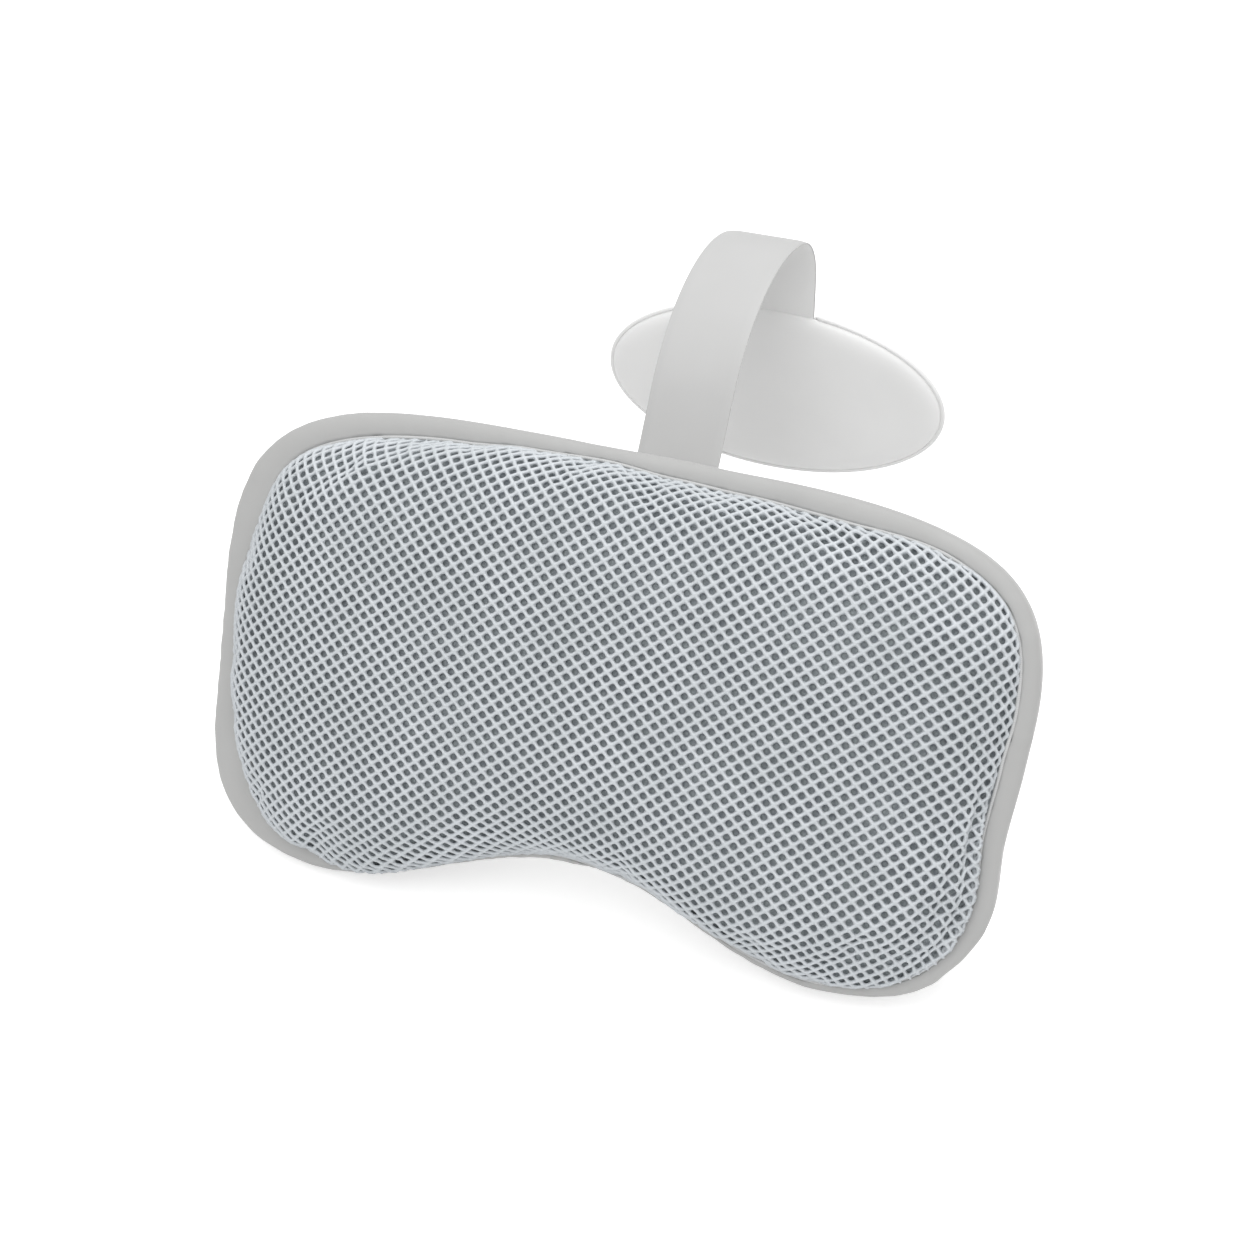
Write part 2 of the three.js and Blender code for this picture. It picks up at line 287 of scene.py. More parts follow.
def add_grid(name, points, loop_rows=False, loop_columns=False):
    """A mesh over a grid of points, rows by columns by 3, with its running lengths as the cloth's place."""
    rows, columns = points.shape[:2]
    faces = grid_faces(rows, columns, loop_rows, loop_columns)
    v = running_length(points, 0, loop_rows)
    u = running_length(points, 1, loop_columns)
    v0, u0 = np.meshgrid(v[:-1], u[:-1], indexing="ij")
    v1, u1 = np.meshgrid(v[1:], u[1:], indexing="ij")
    uv = np.stack([u0, v0, u1, v0, u1, v1, u0, v1], axis=-1).reshape(-1, 4, 2)
    return add_mesh(name, points.reshape(-1, 3), faces, uv)


def waves(place, seed, count, longest):
    """Smooth irregularity, about -1 to 1: sines along a closed place, 0 to 1, of whole numbers of turns up
    to count, with seeded phases, and weaker the shorter they are past the longest."""
    draw = np.random.default_rng(seed)
    turns = np.arange(1, count + 1)
    phase = draw.uniform(0, FULL, count)
    weight = draw.uniform(0.4, 1, count) / (1 + (turns / longest) ** 2)
    total = np.sin(FULL * np.asarray(place)[..., None] * turns + phase) @ weight
    return total / np.sqrt(weight @ weight)


def full_circle(count):
    """Angles that cut a full circle into equal parts."""
    return FULL * np.arange(count) / count


def smooth(low, high, value):
    """The smooth step from 0 at low to 1 at high."""
    share = np.clip((value - low) / (high - low), 0, 1)
    return share * share * (3 - 2 * share)


def rounded(value, power):
    """A sine or cosine raised to a power with its sign kept, for a superellipse."""
    return np.sign(value) * np.abs(value) ** power


# Pillow surfaces: x across, h up the back panel, level towards the bather

def placed(x, h, level):
    """A point of the pillow in the frame: the panel leans back from upright by LEAN."""
    y = h * math.sin(LEAN) - level * math.cos(LEAN)
    z = h * math.cos(LEAN) + level * math.sin(LEAN)
    return np.stack(np.broadcast_arrays(x, y, z), axis=-1)


def outline(turn, edge):
    """The pillow's outline at an edge: a superellipse that flares to the top, with the neck recess pushed
    up into its lower side as a bell curve. Turns run anticlockwise from the top."""
    inset, lobe_inset, neck_inset = edge
    angle = QUARTER + FULL * turn
    reach = np.where(np.sin(angle) > 0, TOP_HEIGHT - inset, LOBE_DEPTH - lobe_inset)
    across = np.abs(np.cos(angle)) / (HALF_WIDTH - inset)
    up = np.abs(np.sin(angle)) / reach
    radius = (across ** CORNER_POWER + up ** CORNER_POWER) ** (-1 / CORNER_POWER)
    x = radius * np.cos(angle)
    h = radius * np.sin(angle)
    lowness = np.maximum(0, -h / reach) ** 2
    recess = (NECK_RISE - lobe_inset + neck_inset) * np.exp(-((x / NECK_SPREAD) ** 2))
    return x * (1 + TOP_FLARE * h / (TOP_HEIGHT * HALF_WIDTH)), h + recess * lowness


def trim_at(listed, direction):
    """A trim in a direction: between the listed ones it follows a smooth step."""
    listed = np.array(listed)
    after = np.searchsorted(listed[:, 0], direction, side="right") % len(listed)
    low, high = listed[after - 1], listed[after]
    gap = (high[..., 0] - low[..., 0]) % 360
    step = smooth(0, 1, (direction - low[..., 0]) % 360 / gap)
    return low[..., 1] + (high[..., 1] - low[..., 1]) * step


def trimmed(x, h, seam=1, band=0):
    """Points of an outline, pushed out from the crown's centre by shares of the two trims of their
    direction."""
    direction = np.degrees(np.arctan2(h - CROWN_CENTRE, x)) % 360
    push = seam * trim_at(SEAM_TRIM, direction) + band * trim_at(BAND_TRIM, direction)
    turn = np.radians(direction)
    return x + push * np.cos(turn), h + push * np.sin(turn)


fine_turns = np.linspace(0, 1, num=4001)


def even_turns(count):
    """Turns that cut the widest outline into equal lengths."""
    x, h = outline(fine_turns, (0, 0, 0))
    length = np.concatenate([[0], np.cumsum(np.hypot(np.diff(x), np.diff(h)))])
    return np.interp(np.arange(count) / count * length[-1], length, fine_turns)


def drawn_in(edge, distance):
    """An edge, drawn in all round by a distance."""
    return [inset + distance for inset in edge]


def piping(name, edge, trim, level, radius, count, sides):
    """A round cord in a seam: a circle of the radius carried round the edge, with a share of the front
    seam's trim, at the level."""
    turns = even_turns(count)
    angle = full_circle(sides)
    rings = [trimmed(*outline(turns, drawn_in(edge, -radius * math.cos(a))), trim) for a in angle]
    x, h = np.swapaxes(rings, 0, 1)
    points = placed(x, h, level + radius * np.sin(angle)[:, None])
    return add_grid(name, points, loop_rows=True, loop_columns=True)


def face_cord():
    """The cord in the front seam."""
    edge = drawn_in(FRONT_EDGE, PIPING_INSET)
    return piping("face_cord", edge, 1, PIPING_LEVEL, PIPING_RADIUS, count=540, sides=10)


def back_cord():
    """The cord in the back seam, which isn't trimmed."""
    edge = drawn_in(BACK_EDGE, BACK_PIPING_INSET)
    return piping("back_cord", edge, 0, BACK_PIPING_RADIUS, BACK_PIPING_RADIUS, count=420, sides=8)


# Domed face: tables of directions round its centre by shares of the cloth's length from there to the seam

DIRECTIONS = 720
SHARES = 161
direction_of_row = full_circle(DIRECTIONS)


def summed(step):
    """Running sums of steps along each row, from 0."""
    return np.concatenate([np.zeros((len(step), 1)), np.cumsum(step, axis=1)], axis=1)


def run_of(out, level):
    """Running length along each direction's profile."""
    return summed(np.hypot(np.diff(out, axis=1), np.diff(level, axis=1)))


def evened(out, level):
    """Profiles whose shares are even in length along each direction."""
    length = run_of(out, level)
    row = 2 * np.arange(DIRECTIONS)[:, None]
    known = (row + length / length[:, -1:]).ravel()
    wanted = (row + np.linspace(0, 1, SHARES)).ravel()
    even_out = np.interp(wanted, known, out.ravel()).reshape(out.shape)
    even_level = np.interp(wanted, known, level.ravel()).reshape(out.shape)
    return even_out, even_level


def turned(out, level):
    """Points of the profiles, each turned to its direction."""
    across = out * np.cos(direction_of_row)[:, None]
    up = CROWN_CENTRE + out * np.sin(direction_of_row)[:, None]
    return placed(across, up, level)


def puff_at(x, h):
    """How far the dome puffs out past the seam: little at the top and the neck, more at the sides, and most
    at the lobes."""
    low = smooth(*PUFF_LOBES, h)
    side = smooth(*PUFF_SIDES, np.abs(x))
    return PUFF + SIDE_PUFF * side + LOBE_PUFF * low * side


def dome_profile():
    """The smooth dome along each direction, as distances out from its centre and levels. Its level is the
    crown times the root of one less the cube of the distance share, a fuller power of it at the top and the
    left, and above the seam it puffs out past it."""
    x, h = trimmed(*outline(fine_turns, drawn_in(FRONT_EDGE, FACE_INSET)))
    bearing = np.arctan2(h - CROWN_CENTRE, x) % FULL
    rim_x = np.interp(direction_of_row, bearing, x, period=FULL)
    rim_h = np.interp(direction_of_row, bearing, h, period=FULL)
    angle = np.linspace(0, QUARTER, SHARES)
    share = np.sin(angle) ** (2 / CROWN_POWER)
    full = np.maximum(smooth(*TOP_FLANK, rim_h), smooth(*LEFT_FLANK, rim_x))
    rise = np.cos(angle) ** (1 - FLANK_FULLNESS * full)[:, None]
    swell = share * rise / PUFF_SHARE * np.exp(1 - rise / PUFF_SHARE)
    rim = np.hypot(rim_x, rim_h - CROWN_CENTRE)[:, None]
    return evened(rim * share + puff_at(rim_x, rim_h)[:, None] * swell, FACE_LEVEL + FACE_CROWN * rise)


def pleated(out, level):
    """Profiles with the pleats that run beside the seam: a sine of the length from the seam, square to the
    profile, which dies away inwards and to both sides of each pleat's direction. The dip is next to the
    seam."""
    length = run_of(out, level)
    inward = length[:, -1:] - length
    slope = np.arctan2(np.gradient(level, axis=1), np.gradient(out, axis=1))
    depth = 0
    for place, spread, deepest in PLEATS:
        away = (np.degrees(direction_of_row) - place + 180) % 360 - 180
        depth = depth + deepest * np.exp(-((away / spread) ** 2))
    wave = np.sin(FULL * inward / PLEAT_PITCH) * np.exp(-inward / PLEAT_REACH) * depth[:, None]
    return out + wave * np.sin(slope), level - wave * np.cos(slope)


def eased(out, level, keep):
    """The profiles unrolled: the same lengths, with their slope times keep, so that the rim is longer."""
    slope = np.arctan2(np.diff(level, axis=1), np.diff(out, axis=1)) * keep
    step = np.diff(run_of(out, level), axis=1)
    return summed(step * np.cos(slope)), level[:, :1] + summed(step * np.sin(slope))


def on_rows(table, direction, share):
    """A value from a table of directions by shares, straight between its entries and closed all round."""
    row = direction / FULL * len(table)
    column = np.clip(share, 0, 1) * (table.shape[1] - 1)
    i = np.floor(row).astype(int)
    j = np.minimum(np.floor(column).astype(int), table.shape[1] - 2)
    r, c = (row - i)[..., None], (column - j)[..., None]
    i, k = i % len(table), (i + 1) % len(table)
    low = table[i, j] * (1 - r) + table[k, j] * r
    high = table[i, j + 1] * (1 - r) + table[k, j + 1] * r
    return low * (1 - c) + high * c


dome_out, dome_level = dome_profile()
dome_points = turned(dome_out, dome_level)
cloth_out, cloth_level = pleated(dome_out, dome_level)
cloth_reach = run_of(cloth_out, cloth_level)[:, -1]
cloth_points = turned(*evened(cloth_out, cloth_level))


def reach_at(direction):
    """Length of the face's cloth from its centre to the seam in a direction."""
    closed_reach = np.append(cloth_reach, cloth_reach[0])
    return np.interp(direction % FULL, np.append(direction_of_row, FULL), closed_reach)


# The face's cloth as a rectangular panel of places from -1 to 1 each way

PANEL_COLUMNS = 95
PANEL_ROWS = 57
PANEL_HALF = (cloth_reach[0], cloth_reach[DIRECTIONS // 4])


def panel_place(across, up, share):
    """Place on the panel of a point of the flat cloth: along its ray, as far out as its share."""
    p, q = across / PANEL_HALF[0], up / PANEL_HALF[1]
    scale = np.clip(share, 0, 1) / np.maximum(np.maximum(np.abs(p), np.abs(q)), TINY)
    return p * scale, q * scale


def panel_grid():
    """Direction and share of each point of the panel's grid: the larger of its two places is the share."""
    p, q = np.meshgrid(np.linspace(-1, 1, PANEL_COLUMNS), np.linspace(-1, 1, PANEL_ROWS))
    direction = np.arctan2(q * PANEL_HALF[1], p * PANEL_HALF[0]) % FULL
    return direction, np.maximum(np.abs(p), np.abs(q))


def on_panel(table, p, q):
    """A value from a table on the panel's grid, straight between its entries."""
    rows, columns = table.shape[:2]
    row, column = (q + 1) / 2 * (rows - 1), (p + 1) / 2 * (columns - 1)
    i = np.clip(np.floor(row).astype(int), 0, rows - 2)
    j = np.clip(np.floor(column).astype(int), 0, columns - 2)
    r, c = (row - i)[..., None], (column - j)[..., None]
    low = table[i, j] * (1 - c) + table[i, j + 1] * c
    high = table[i + 1, j] * (1 - c) + table[i + 1, j + 1] * c
    return low * (1 - r) + high * r


# Sewing of the face, as a cloth simulation: spare length at the rim as shares of the whole, the edge that
# is free to gather, and the stuff of the cloth

SPARE_CLOTH = 0.25
TOP_SPARE = 0.3
SIDE_SPARE = 0.6
LOBE_SPARE = 0.4
SPARE_SIDES = (50, 140)
SPARE_LOBES = (40, -40)
UNEVENNESS = 0.5
SEWN_FRAME = 16
LAST_FRAME = 36
FREE_EDGE = 25
HELD_EDGE = 45
HOLD = 0.3
AT_SEAM = 0.9999
GATHER_LIMIT = 2.6
BROAD_STEPS = 30
CLOTH = {
    "quality": 6,
    "mass": 0.02,
    "air_damping": 5,
    "tension_stiffness": 15,
    "compression_stiffness": 15,
    "shear_stiffness": 5,
    "bending_stiffness": 0.1,
    "use_pressure": True,
    "uniform_pressure_force": 20,
}


def spare_cloth():
    """How much the cut of the face is eased in each direction: more at the sides, most at the lobes, and
    unevenly."""
    sides = smooth(*SPARE_SIDES, np.abs(dome_points[:, -1, 0]))
    low = smooth(*SPARE_LOBES, dome_points[:, -1, 2])
    uneven = 1 + UNEVENNESS * waves(direction_of_row / FULL, seed=11, count=9, longest=5)
    return SPARE_CLOTH * (TOP_SPARE + SIDE_SPARE * sides + LOBE_SPARE * sides * low) * uneven


def settled(cut, sewn, hold):
    """Points of a cloth grid that starts as cut, is drawn to where it is sewn as far as hold says at each
    point, and settles under air pressure from inside."""
    sheet = add_grid("face_cloth", cut)
    sheet.shape_key_add(name="cut")
    seam = sheet.shape_key_add(name="sewn")
    seam.data.foreach_set("co", np.ascontiguousarray(sewn * MM, np.float32).ravel())
    for value, step in ((0, 1), (1, SEWN_FRAME)):
        seam.value = value
        seam.keyframe_insert("value", frame=step)
    group = sheet.vertex_groups.new(name="hold")
    for weight in np.unique(hold):
        group.add(np.flatnonzero(hold == weight).tolist(), float(weight), "REPLACE")
    cloth = sheet.modifiers.new("cloth", "CLOTH")
    for name, value in CLOTH.items():
        setattr(cloth.settings, name, value)
    cloth.settings.vertex_group_mass = group.name
    cloth.settings.effector_weights.gravity = 0
    cloth.collision_settings.use_collision = False
    cloth.point_cache.frame_end = LAST_FRAME
    for step in range(1, LAST_FRAME + 1):
        bpy.context.scene.frame_set(step)
    result = sheet.evaluated_get(bpy.context.evaluated_depsgraph_get()).to_mesh()
    points = np.empty(len(result.vertices) * 3, np.float32)
    result.vertices.foreach_get("co", points)
    bpy.data.objects.remove(sheet)
    bpy.context.scene.frame_set(1)
    return points.reshape(sewn.shape) / MM


def sew_face():
    """How the face's cloth gathers at its seam, as shifts on the panel's grid. The cloth is cut with spare
    length at the rim, its rim is drawn in to the seam, and its middle is held to the foam. The broad part
    of the shift, which the dome has already, is taken off, and the rest is kept within a limit."""
    direction, share = panel_grid()
    sewn = on_rows(dome_points, direction, share)
    unrolled = turned(*eased(dome_out, dome_level, 1 - spare_cloth()[:, None]))
    inward = (1 - share) * reach_at(direction)
    hold = np.where(share > AT_SEAM, 1, np.round(HOLD * smooth(FREE_EDGE, HELD_EDGE, inward), 2))
    shift = settled(on_rows(unrolled, direction, share), sewn, hold.ravel()) - sewn
    shift = shift - broad_part(shift)
    size = np.linalg.norm(shift, axis=-1, keepdims=True)
    return shift * GATHER_LIMIT * np.tanh(size / GATHER_LIMIT) / np.maximum(size, TINY)


def broad_part(table):
    """A table on the panel's grid, averaged with its four neighbours many times, with its border kept."""
    for _ in range(BROAD_STEPS):
        mean = table.copy()
        mean[1:-1, 1:-1] = (table[:-2, 1:-1] + table[2:, 1:-1] + table[1:-1, :-2] + table[1:-1, 2:]) / 4
        table = mean
    return table


gathers = sew_face()


def face_point(across, up, gathered):
    """A point of the face from its place on the flat cloth, with or without the gathers and pleats. Past
    the seam it stays on the seam."""
    direction = np.arctan2(up, across)
    share = np.hypot(across, up) / reach_at(direction)
    if not gathered:
        return on_rows(dome_points, direction % FULL, share)
    shift = on_panel(gathers, *panel_place(across, up, share))
    return on_rows(cloth_points, direction % FULL, share) + shift


def face_at(across, up, lift, gathered=True):
    """A point over the face, lifted along its normal, which comes from four points round it on the cloth,
    and beside the seam from a place just inside it."""
    share = np.hypot(across, up) / reach_at(np.arctan2(up, across))
    inside = np.minimum(1, NORMAL_SHARE / np.maximum(share, TINY))
    a, b = across * inside, up * inside
    along = face_point(a + NORMAL_STEP, b, gathered) - face_point(a - NORMAL_STEP, b, gathered)
    upward = face_point(a, b + NORMAL_STEP, gathered) - face_point(a, b - NORMAL_STEP, gathered)
    normal = np.cross(along, upward)
    normal = normal / np.linalg.norm(normal, axis=-1, keepdims=True)
    return face_point(across, up, gathered) + np.asarray(lift)[..., None] * normal


# Pieces of the pillow

def face_net():
    """The open mesh: round holes on a diamond lattice of the flat cloth. Each cell is three rings of
    points: the hole's edge, and over and under it the crest and the root of the strand on the cell's
    border, which neighbours share. Strands cross at knots, which stand highest. Faces mostly past the seam
    are cut off."""
    half = np.array([PITCH_ACROSS, PITCH_UP]) / 2
    columns = np.arange(-CELLS_ACROSS, CELLS_ACROSS + 1)
    rows = np.arange(-CELLS_UP, CELLS_UP + 1)
    cells = np.stack(np.meshgrid(columns, rows), axis=-1).reshape(-1, 2)
    cells = cells[cells.sum(axis=1) % 2 == 0]
    across, up = (cells * half).T
    cells = cells[np.hypot(across, up) < CUT_SHARE * reach_at(np.arctan2(up, across))]

    along = np.arange(SIDE_POINTS)
    side = np.stack([SIDE_POINTS - along, along], axis=1)
    quarter_turn = np.array([[0, 1], [-1, 0]])
    border = np.concatenate([side @ np.linalg.matrix_power(quarter_turn, k) for k in range(4)])
    diamond = border / SIDE_POINTS * half
    size = np.linalg.norm(diamond, axis=1, keepdims=True)
    hole = HOLE_RADIUS * diamond / size * (1 + HOLE_SQUARENESS * (size / size.mean() - 1))

    keys = (SIDE_POINTS * cells[:, None] + border).reshape(-1, 2)
    crests, crest_of = np.unique(keys, axis=0, return_inverse=True)
    holes = ((cells * half)[:, None] + hole).reshape(-1, 2)
    knots = (crests % SIDE_POINTS == 0).all(axis=1)
    strands = crests / SIDE_POINTS * half
    across, up = np.concatenate([holes, strands, strands]).T
    past_seam = np.hypot(across, up) > reach_at(np.arctan2(up, across))
    crest_lift = np.where(knots, KNOT_LIFT, CREST_LIFT)
    lifts = [np.full(len(holes), HOLE_LIFT), crest_lift, np.full(len(crests), ROOT_LIFT)]
    points = face_at(across, up, np.concatenate(lifts))

    edge = np.arange(len(holes)).reshape(len(cells), -1)
    crest = crest_of.reshape(edge.shape) + len(holes)
    root = crest + len(crests)
    quads = []
    for inner, outer in ((edge, crest), (root, edge)):
        quads.append(np.stack([inner, outer, np.roll(outer, -1, 1), np.roll(inner, -1, 1)], axis=-1))
    quads = np.concatenate(quads).reshape(-1, 4)
    quads = quads[past_seam[quads].sum(axis=1) < 3]
    used, quads = np.unique(quads, return_inverse=True)
    return add_mesh("face_net", points[used], quads.reshape(-1, 4), closed=True)


def band_section(depth, side_steps, shoulder_steps):
    """Edges, shares of the two trims and levels of the band's section, a depth below its outer face: a
    quarter of an ellipse from the back seam out to the widest outline, and a small one from there in to the
    front seam."""
    section = []
    for angle in QUARTER * np.linspace(1, 0, side_steps + 1):
        edge = [inset - (inset - depth) * math.cos(angle) for inset in BACK_EDGE]
        section.append((edge, 0, math.cos(angle), BAND_DEPTH - (BAND_DEPTH - depth) * math.sin(angle)))
    for angle in QUARTER * np.linspace(0, 1, shoulder_steps + 1)[1:]:
        edge = [inset - (inset - depth) * math.cos(angle) for inset in FRONT_EDGE]
        level = BAND_DEPTH + (SEAM_RISE - depth) * math.sin(angle)
        section.append((edge, 1 - math.cos(angle), math.cos(angle), level))
    return section


def carried_round(section, turns):
    """A section carried round the outline, as x, h and level."""
    rings = [trimmed(*outline(turns, edge), seam, band) for edge, seam, band, _ in section]
    x, h = np.swapaxes(rings, 0, 1)
    return x, h, np.array([level for *_, level in section])[:, None]


def side_band():
    """The smooth side cover: an outer and an inner face joined at both seams. The cloth has broad slack
    between the seams and small tucks along the front one."""
    turns = even_turns(count=540)
    outer = band_section(0, side_steps=26, shoulder_steps=12)
    inner = band_section(BAND_THICKNESS, side_steps=26, shoulder_steps=12)
    x, h, level = carried_round(outer + inner[::-1], turns)
    slack = BAND_SLACK * waves(turns, seed=3, count=22, longest=9)
    slack = slack * smooth(*SLACK_START, level) * smooth(*SLACK_END, level)
    tucks = SEAM_TUCK * waves(turns, seed=5, count=170, longest=120)
    tucks = tucks * smooth(*TUCK_START, level)
    scale = 1 + (slack + tucks) / np.hypot(x, h)
    points = placed(x * scale, h * scale, level)
    return add_grid("side_band_cover", points, loop_rows=True, loop_columns=True)


def cushion_core():
    """The stuffed body in its dark lining: the band's section below the cloth, then the smooth face less
    the depth of the open mesh, which the lining meets more closely in some places than in others, and least
    near the seam."""
    turns = even_turns(count=300)
    section = band_section(BAND_THICKNESS + LINING_GAP, side_steps=14, shoulder_steps=6)
    x, h, level = carried_round(section, turns)
    sides = placed(x, h, level)
    back = placed(0 * x[:1], 0 * h[:1] + CROWN_CENTRE, level[:1])
    rim_x, rim_h = trimmed(*outline(turns, drawn_in(FRONT_EDGE, FACE_INSET)))
    direction = np.arctan2(rim_h - CROWN_CENTRE, rim_x)
    flat = np.linspace(LINING_REACH, 0, num=70)[:, None] * reach_at(direction)
    across, up = flat * np.cos(direction), flat * np.sin(direction)
    slack = waves(across / LINING_WIDTH + 0.5, seed=7, count=14, longest=8)
    slack = slack * waves(up / LINING_HEIGHT + 0.5, seed=8, count=10, longest=6)
    dip = LINING_DIP * smooth(*DIP_START, np.hypot(across, up) / reach_at(direction))
    face = face_at(across, up, LINING_SLACK * np.tanh(slack) - LINING_DEPTH - dip, gathered=False)
    return add_grid("cushion_core", np.concatenate([back, sides, face]), loop_columns=True)


def flat_cloth(name, x, h, middle, level, thickness):
    """A flat piece of cloth: rings from its middle out to its rim x, h, round the rim and back inside."""
    share = np.linspace(0, RIM_SHARE, num=14)
    roll = QUARTER * np.linspace(-1, 1, num=7)
    shares = np.concatenate([share, RIM_SHARE + (1 - RIM_SHARE) * np.cos(roll), share[::-1]])[:, None]
    lift = np.concatenate([0 * share, (1 + np.sin(roll)) / 2, 0 * share + 1])[:, None]
    points = placed(shares * x, middle + shares * (h - middle), level + thickness * lift)
    return add_grid(name, points, loop_columns=True)


def back_panel():
    """The flat panel that lies against the tub, as large as the back seam."""
    x, h = outline(even_turns(count=240), drawn_in(BACK_EDGE, PANEL_INSET))
    return flat_cloth("back_panel_cloth", x, h, 0, 0, PANEL_THICKNESS)


def anchor_patch():
    """The stiffening patch behind the panel: a superellipse close to a rectangle."""
    low, high = (np.array(corner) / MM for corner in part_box("anchor_patch"))
    _, y, z = (low + high) / 2
    middle = y * math.sin(LEAN) + z * math.cos(LEAN)
    level = z * math.sin(LEAN) - y * math.cos(LEAN) - PATCH_THICKNESS / 2
    angle = QUARTER + full_circle(count=80)
    x = rounded(np.cos(angle), PATCH_CORNER) * (STRAP_WIDTH / 2 + PATCH_MARGIN)
    h = rounded(np.sin(angle), PATCH_CORNER) * ROOT_TAB / 2
    return flat_cloth("patch_cloth", x, middle + h, middle, level, PATCH_THICKNESS)


# Strap: its line is worked out in steps, and sudden turns are eased over some of them each way

STEP = 0.1
EASED_STEPS = 40


def strap_line():
    """The strap's side view in y and z and its slope, and the places where its stretches end. Its slope
    runs up the back panel, up the ramp, evenly down over the crown's two arcs and straight down into the
    pad, and is averaged over a few millimetres where it changes at once."""
    fold = hinges["strap_crown"][2] - hinges["pad_swing"][2]
    crown_fall = CROWN_RADIUS * (1 - math.cos(SHOULDER_ANGLE))
    drop = fold - crown_fall - SHOULDER_RADIUS * math.cos(SHOULDER_ANGLE)
    stretches = [0, ROOT_TAB, RAMP_LENGTH, CROWN_RADIUS * RAMP_ANGLE, CROWN_RADIUS * SHOULDER_ANGLE]
    stretches += [SHOULDER_RADIUS * (QUARTER - SHOULDER_ANGLE), drop, END_TAB]
    ends = np.cumsum(stretches)
    place = np.arange(0, ends[-1], STEP)
    known = [0, ends[1], ends[1] + STEP, *ends[2:]]
    slopes = [QUARTER - LEAN, QUARTER - LEAN, RAMP_ANGLE, RAMP_ANGLE, 0, -SHOULDER_ANGLE, *[-QUARTER] * 3]
    ease = np.hanning(2 * EASED_STEPS + 3)[1:-1]
    sharp = np.pad(np.interp(place, known, slopes), EASED_STEPS, mode="edge")
    slope = np.convolve(sharp, ease / ease.sum(), mode="valid")
    y, z = np.cumsum(np.cos(slope)) * STEP, np.cumsum(np.sin(slope)) * STEP
    root = np.argmin(np.abs(place - ROOT_TAB))
    y, z = y - y[root] + hinges["strap_root"][1], z - z[root] + hinges["strap_root"][2]
    return place, y, z, slope, ends


strap_place, strap_y, strap_z, strap_slope, strap_ends = strap_line()
ROOT_FOLD, CROWN_FOLD, PAD_FOLD = strap_ends[1], strap_ends[3], strap_ends[6]
LOWER_JOIN = ROOT_FOLD + LOWER_STRETCH
DROP_JOIN = PAD_FOLD - DROP_STRETCH


def on_strap(place, off):
    """y and z of a point of the strap's line, moved off it square to the line. Its sewn end is seated
    closer to the panel."""
    off = off + STRAP_SEAT * smooth(ROOT_FOLD + SEAT_REACH, ROOT_FOLD - SEAT_REACH, place)
    y, z, slope = (np.interp(place, strap_place, line) for line in (strap_y, strap_z, strap_slope))
    return y - off * np.sin(slope), z + off * np.cos(slope)


def strap_piece(name, start, end):
    """A stretch of the strap: a flat section with thin round edges carried along its line and closed at
    both ends. The section is a superellipse whose half thickness falls from the middle to the edges."""
    inner = np.linspace(start, end, int((end - start) / STRAP_STEP) + 2)[1:-1]
    ends = ([start, start, start + STRAP_LIP], [end - STRAP_LIP, end, end])
    place = np.concatenate([ends[0], inner, ends[1]])[:, None]
    closed = np.ones(place.shape)
    closed[[0, -1]] = 0
    angle = full_circle(count=64)
    cosine, sine = np.round([np.cos(angle), np.sin(angle)], 9)
    across = rounded(cosine, SECTION_POWER)
    thickness = STRAP_EDGE + (STRAP_THICKNESS - STRAP_EDGE) * smooth(1, EDGE_SHARE, np.abs(across))
    half = rounded(sine, SECTION_POWER) * thickness / 2
    y, z = on_strap(place, closed * half)
    points = np.stack([np.broadcast_to(-across * STRAP_WIDTH / 2, y.shape), y, z], axis=-1)
    return add_grid(name, points, loop_columns=True)


def stitch_runs():
    """Middles and directions of the stitches that sew the strap on: round a square and along its diagonals,
    as places across and along the strap's end."""
    low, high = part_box("anchor_stitching")
    half = (high.x - low.x) / 2 / MM - THREAD_RADIUS
    middle = ROOT_FOLD - ROOT_TAB / 2
    corners = np.array([[-half, -half], [half, -half], [half, half], [-half, half]])
    runs = [(corners[k], corners[(k + 1) % 4]) for k in range(4)]
    runs += [(corners[0], corners[2]), (corners[1], corners[3])]
    middles, directions = [], []
    for start, end in runs:
        length = np.linalg.norm(end - start)
        count = round(length / STITCH_PITCH)
        middles.append(start + (end - start) * ((np.arange(count) + 0.5) / count)[:, None])
        directions.append(np.repeat([(end - start) / length], count, axis=0))
    return np.concatenate(middles) + [0, middle], np.concatenate(directions)


def anchor_stitches():
    """Thread on the strap's sewn end: each stitch is a bar of round section, whose radius falls to nothing
    at its ends as an ellipse does, and its middle line is a low bow out of the strap."""
    middles, directions = (values[:, None, None] for values in stitch_runs())
    along = np.linspace(-1, 1, num=7)[None, :, None]
    turn = full_circle(count=6)[None, None, :]
    radius = THREAD_RADIUS * np.sqrt(1 - along ** 2)
    run = STITCH_LENGTH / 2 * along
    aside = radius * np.cos(turn)
    across = middles[..., 0] + run * directions[..., 0] - aside * directions[..., 1]
    place = middles[..., 1] + run * directions[..., 1] + aside * directions[..., 0]
    off = radius * np.sin(turn) - STRAP_THICKNESS / 2 - STITCH_BOW * (1 - 2 * along ** 2)
    y, z = on_strap(place, off)
    points = np.stack(np.broadcast_arrays(across, y, z), axis=-1)
    first = np.arange(len(points))[:, None, None] * points[0, ..., 0].size
    faces = first + grid_faces(*points.shape[1:3], loop_columns=True)
    return add_mesh("anchor_stitches", points.reshape(-1, 3), faces.reshape(-1, 4))


# Pad

